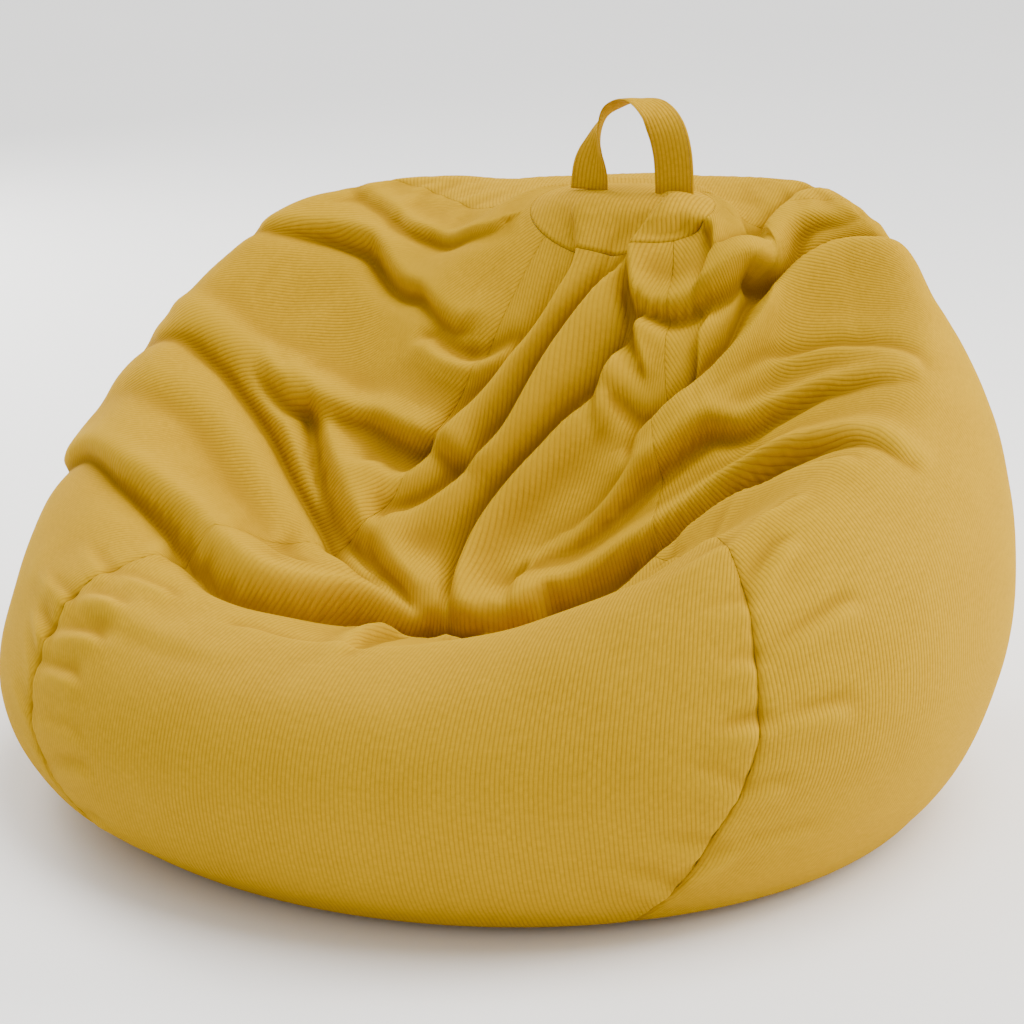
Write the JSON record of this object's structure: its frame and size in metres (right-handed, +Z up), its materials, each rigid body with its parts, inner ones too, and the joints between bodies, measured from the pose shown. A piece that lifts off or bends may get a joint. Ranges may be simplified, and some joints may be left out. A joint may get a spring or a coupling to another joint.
{
  "type": "bean bag chair",
  "caption": "Slumped teardrop floor seat: gored corduroy cover with seat hollow and carry loop, zipped lining bag and loose bead fill.",
  "frame": {"origin": "on the floor, at the centre of the base, 30 mm behind the cover's zip", "axes": "+Z up, the sitter faces -Y, +X is the sitter's left, the zips run along X"},
  "size_m": [1.0157, 0.9674, 0.6464],
  "materials": {
    "corduroy": "matte",
    "lining_cloth": "matte",
    "beads": "matte",
    "mustard_tape": "matte",
    "mustard_coil": "satin",
    "white_tape": "matte",
    "white_coil": "satin",
    "nickel": "satin"
  },
  "bodies": {
    "bag": {"cover_front_panel": "corduroy", "cover_right_panel": "corduroy", "cover_back_panel": "corduroy", "cover_left_panel": "corduroy", "cover_top_cap": "corduroy", "cover_base_front_panel": "corduroy", "cover_base_back_panel": "corduroy", "lining_front_panel": "lining_cloth", "lining_right_panel": "lining_cloth", "lining_back_panel": "lining_cloth", "lining_left_panel": "lining_cloth", "lining_top_cap": "lining_cloth", "lining_base_front_panel": "lining_cloth", "lining_base_back_panel": "lining_cloth", "cover_zip_tape_front": "mustard_tape", "cover_zip_tape_back": "mustard_tape", "cover_zip_coil_front": "mustard_coil", "cover_zip_coil_back": "mustard_coil", "cover_zip_top_stop_front": "nickel", "cover_zip_top_stop_back": "nickel", "cover_zip_bottom_stop": "nickel", "lining_zip_tape_front": "white_tape", "lining_zip_tape_back": "white_tape", "lining_zip_coil_front": "white_coil", "lining_zip_coil_back": "white_coil", "lining_zip_top_stop_front": "nickel", "lining_zip_top_stop_back": "nickel", "lining_zip_bottom_stop": "nickel", "strap_anchor_patch": "corduroy", "bead_fill": "beads"},
    "strap": {"carry_strap": "corduroy"},
    "cover_slider": {"cover_zip_slider": "nickel"},
    "lining_slider": {"lining_zip_slider": "nickel"}
  },
  "joints": [
    {"name": "strap_fold", "type": "hinge", "parent": "bag", "child": "strap", "pos_m": [0.03, 0.267, 0.549], "axis": [1, 0, 0], "range_deg": [-50, 50], "stiffness_Nm_per_rad": 0.05},
    {"name": "cover_zip_travel", "type": "slide", "parent": "bag", "child": "cover_slider", "axis": [1, 0, 0], "range_m": [-0.469, 0]},
    {"name": "lining_zip_travel", "type": "slide", "parent": "bag", "child": "lining_slider", "axis": [1, 0, 0], "range_m": [-0.409, 0]}
  ]
}
